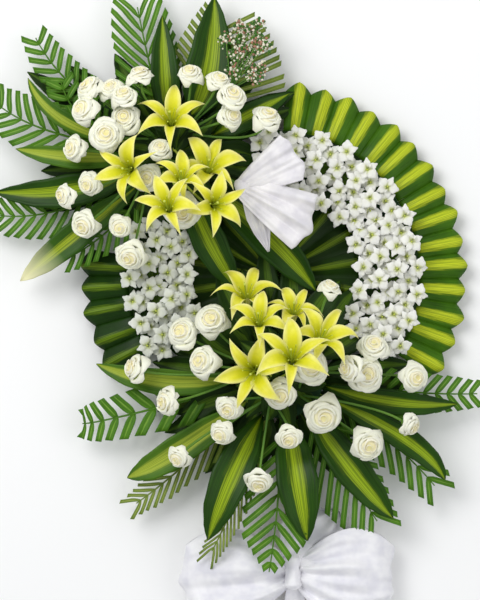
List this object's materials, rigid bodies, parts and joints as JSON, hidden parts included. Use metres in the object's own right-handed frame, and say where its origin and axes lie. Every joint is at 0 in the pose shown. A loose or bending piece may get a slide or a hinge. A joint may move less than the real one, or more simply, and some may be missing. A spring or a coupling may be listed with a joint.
{
  "type": "funeral wreath",
  "caption": "Flower wreath lying face up: orchid ring edged with pleated leaves, two sprays of roses, lilies, leaves and palm, and a cloth bow at the foot.",
  "frame": {"origin": "centre of the ring, on the underside of the middle lath, which lies on the surface", "axes": "+X towards the ring's right, +Y towards its top, +Z out of its face, away from the surface"},
  "size_m": [1.0198, 1.3654, 0.3197],
  "materials": {
    "lath_wood": "planed softwood",
    "floral_foam": "open-cell foam, dull",
    "pleated_leaf": "waxy leaf with a lighter stripe",
    "orchid_petal": "soft petal",
    "palm_frond": "satin leaf",
    "broad_leaf": "satin leaf, streaked",
    "lily_petal": "soft petal",
    "rose_petal": "soft petal",
    "bow_cloth": "sheer woven cloth",
    "dried_filler": "dry florets"
  },
  "bodies": {
    "root": {"bow_upper": "bow_cloth", "filler_sprig": "dried_filler", "foam_arc_left": "floral_foam", "foam_arc_right": "floral_foam", "foam_drum_lower": "floral_foam", "foam_drum_upper": "floral_foam", "foot_bow_knot": "bow_cloth", "foot_bow_left": "bow_cloth", "foot_bow_right": "bow_cloth", "lath_lower": "lath_wood", "lath_middle": "lath_wood", "lath_spine": "lath_wood", "lath_upper": "lath_wood", "leaf_bed": "pleated_leaf", "leaf_centre_left": "broad_leaf", "leaf_centre_right": "broad_leaf", "leaf_cream_tip": "broad_leaf", "leaf_left_long": "broad_leaf", "leaf_low": "broad_leaf", "leaf_low_left": "broad_leaf", "leaf_low_right": "broad_leaf", "leaf_right": "broad_leaf", "leaf_right_low": "broad_leaf", "leaf_shoot_left": "broad_leaf", "leaf_shoot_shoulder": "broad_leaf", "leaf_tall": "broad_leaf", "leaf_top_right": "broad_leaf", "leaf_upright": "broad_leaf", "lilies_lower_a": "lily_petal", "lilies_lower_b": "lily_petal", "lilies_upper_a": "lily_petal", "lilies_upper_b": "lily_petal", "orchids_left": "orchid_petal", "orchids_right_lower": "orchid_petal", "orchids_right_upper": "orchid_petal", "palm_corner": "palm_frond", "palm_crown": "palm_frond", "palm_foot": "palm_frond", "palm_foot_left": "palm_frond", "palm_left_dark": "palm_frond", "palm_left_fan": "palm_frond", "palm_left_lower": "palm_frond", "palm_left_upper": "palm_frond", "palm_low_right": "palm_frond", "palm_right": "palm_frond", "palm_right_low": "palm_frond", "palm_shoulder": "palm_frond", "palm_top": "palm_frond", "palm_under_rose": "palm_frond", "rim_leaves_left": "pleated_leaf", "rim_leaves_lower": "pleated_leaf", "rim_leaves_upper": "pleated_leaf", "roses_lower_far_right": "rose_petal", "roses_lower_foot": "rose_petal", "roses_lower_left": "rose_petal", "roses_lower_right": "rose_petal", "roses_upper_corner": "rose_petal", "roses_upper_heart": "rose_petal", "roses_upper_left": "rose_petal", "roses_upper_top": "rose_petal"}
  },
  "joints": []
}
